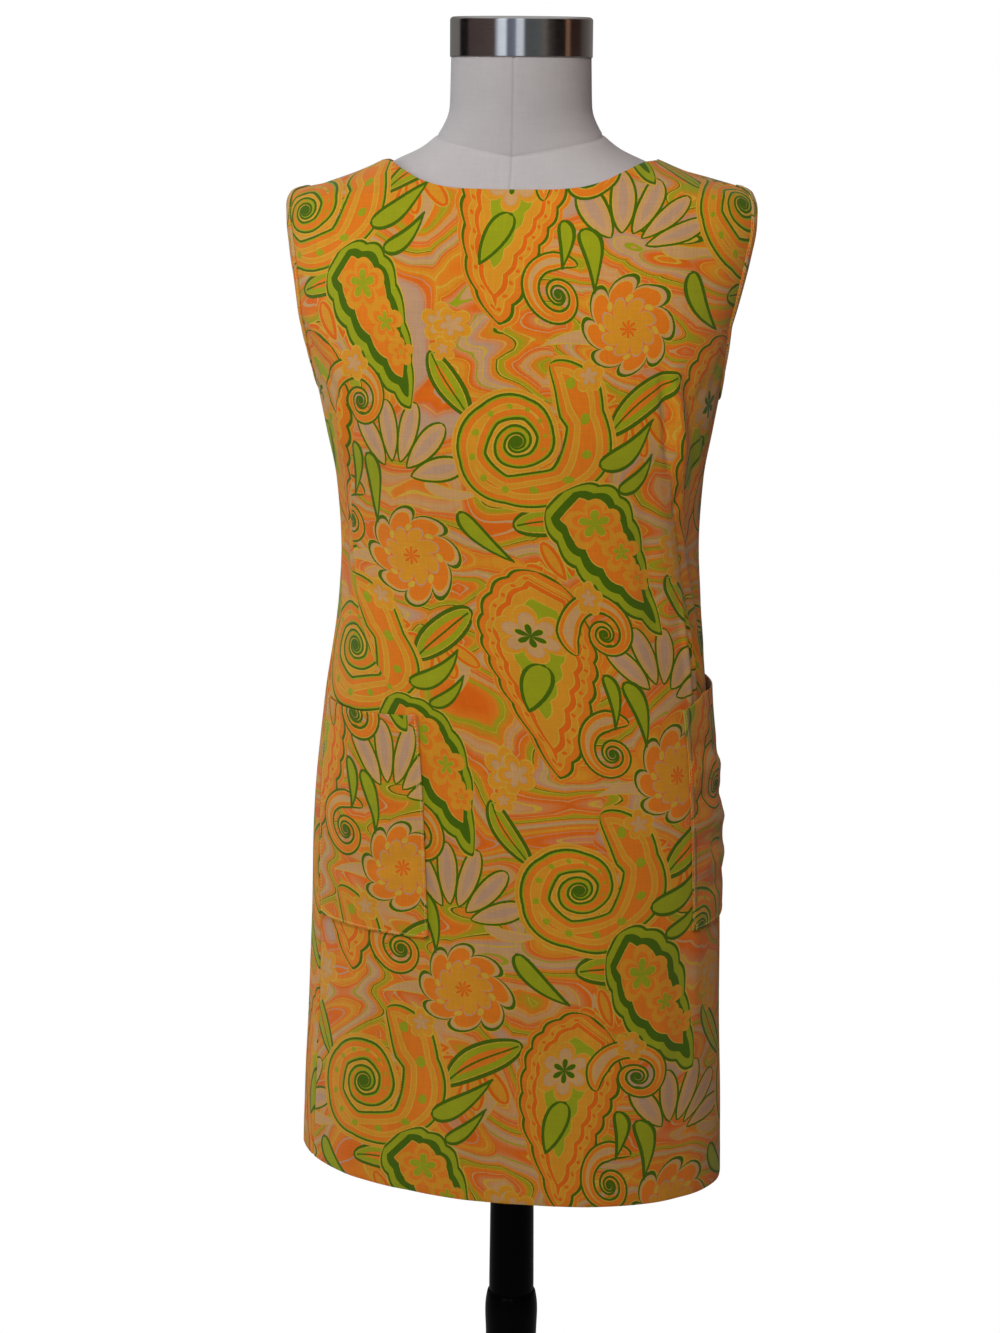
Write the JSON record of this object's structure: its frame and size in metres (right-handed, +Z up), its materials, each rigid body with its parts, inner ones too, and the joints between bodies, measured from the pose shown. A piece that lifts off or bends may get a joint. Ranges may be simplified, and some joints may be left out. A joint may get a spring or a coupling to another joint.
{
  "type": "shift dress on a dress form",
  "caption": "Sleeveless knee-length shift dress with patch pockets and a back zip, on a limbless dress form whose telescopic stand has a round base.",
  "frame": {"origin": "under the middle of the round base, on the floor", "axes": "+Z up along the mast, the front of the dress and of the form faces -Y, the wearer's left is +X"},
  "size_m": [0.43, 0.43, 1.518],
  "materials": {
    "printed_cotton": "matt plain-weave cotton, printed all over",
    "linen_cover": "natural off-white linen, stretched smooth",
    "cap_steel": "satin, brushed round",
    "stand_enamel": "black satin enamel",
    "base_iron": "black, slightly textured",
    "zip_metal": "nickel-washed",
    "zip_tape": "gold twill tape"
  },
  "bodies": {
    "stand": {"base_plate": "base_iron", "outer_tube": "stand_enamel"},
    "mast": {"mast": "stand_enamel"},
    "dressed_form": {"form_torso": "linen_cover", "neck_cap": "cap_steel", "dress_front": "printed_cotton", "dress_back_left": "printed_cotton", "dress_back_right": "printed_cotton", "pocket_left": "printed_cotton", "pocket_right": "printed_cotton", "armhole_band_left": "printed_cotton", "armhole_band_right": "printed_cotton", "zip_tape": "zip_tape", "zip_slider": "zip_metal"},
    "zip_pull": {"zip_pull": "zip_metal"}
  },
  "joints": [
    {"name": "mast_height", "type": "slide", "parent": "stand", "child": "mast", "axis": [0, 0, 1], "range_m": [-0.08, 0.12]},
    {"name": "form_turn", "type": "hinge", "parent": "mast", "child": "dressed_form", "pos_m": [0, 0, 0.6797], "axis": [0, 0, 1], "continuous": true},
    {"name": "zip_pull_swing", "type": "hinge", "parent": "dressed_form", "child": "zip_pull", "pos_m": [0, 0.08704, 1.37965], "axis": [1, 0, 0], "range_deg": [0, 150]}
  ]
}
